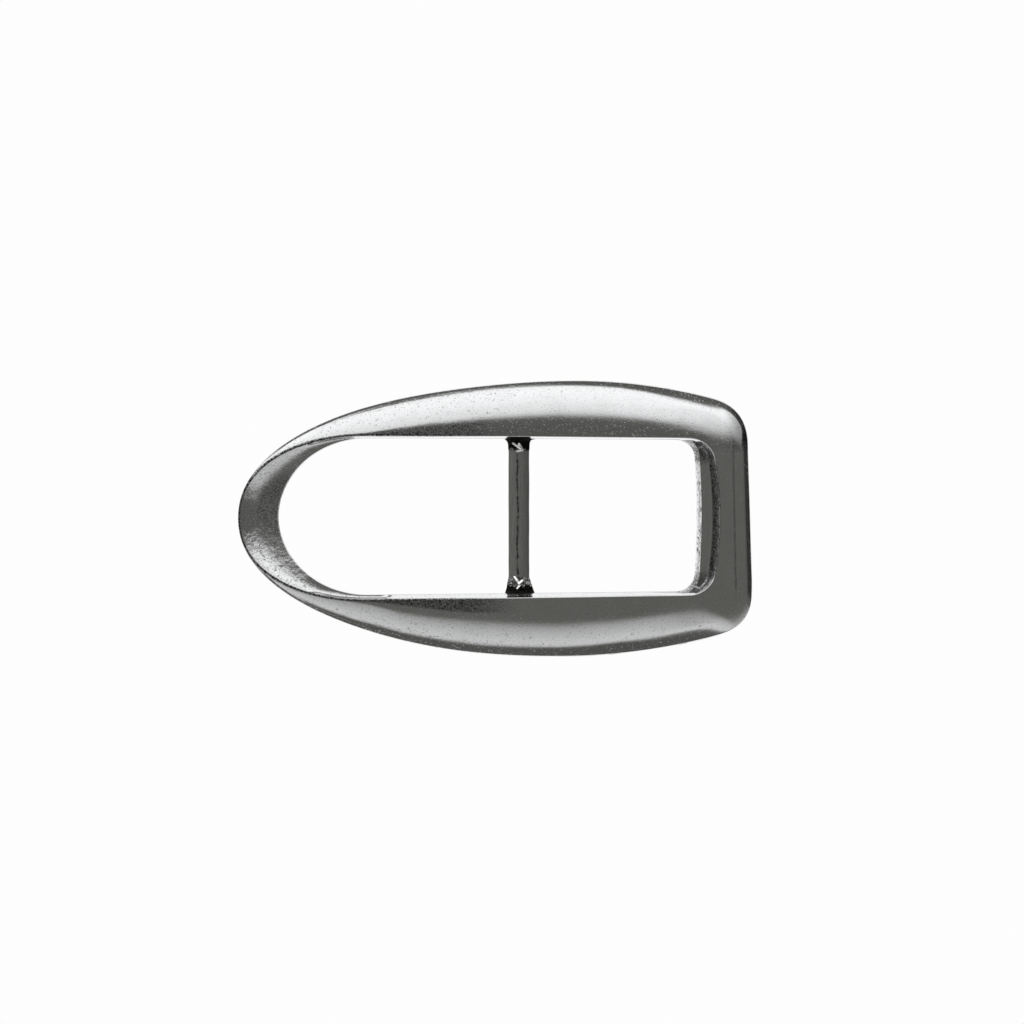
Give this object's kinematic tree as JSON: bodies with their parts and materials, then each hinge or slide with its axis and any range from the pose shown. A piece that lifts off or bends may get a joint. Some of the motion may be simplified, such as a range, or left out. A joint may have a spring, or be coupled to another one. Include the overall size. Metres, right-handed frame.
{
  "type": "strap slider buckle",
  "caption": "Elongated metal strap slider with a rounded dished end, a square end, domed side bars and a fixed flat centre bar.",
  "frame": {"origin": "middle of the outline, on the flat back", "axes": "+X to the square end, +Y along the centre bar, +Z out of the domed face"},
  "size_m": [0.0854, 0.046, 0.0052],
  "materials": {
    "antique_silver": "tumbled, darkened in the recesses",
    "bar_steel": "satin, darkened",
    "solder": "rough, blackened"
  },
  "bodies": {
    "root": {"frame_casting": "antique_silver", "centre_bar": "bar_steel", "solder_upper": "solder", "solder_lower": "solder"}
  },
  "joints": []
}
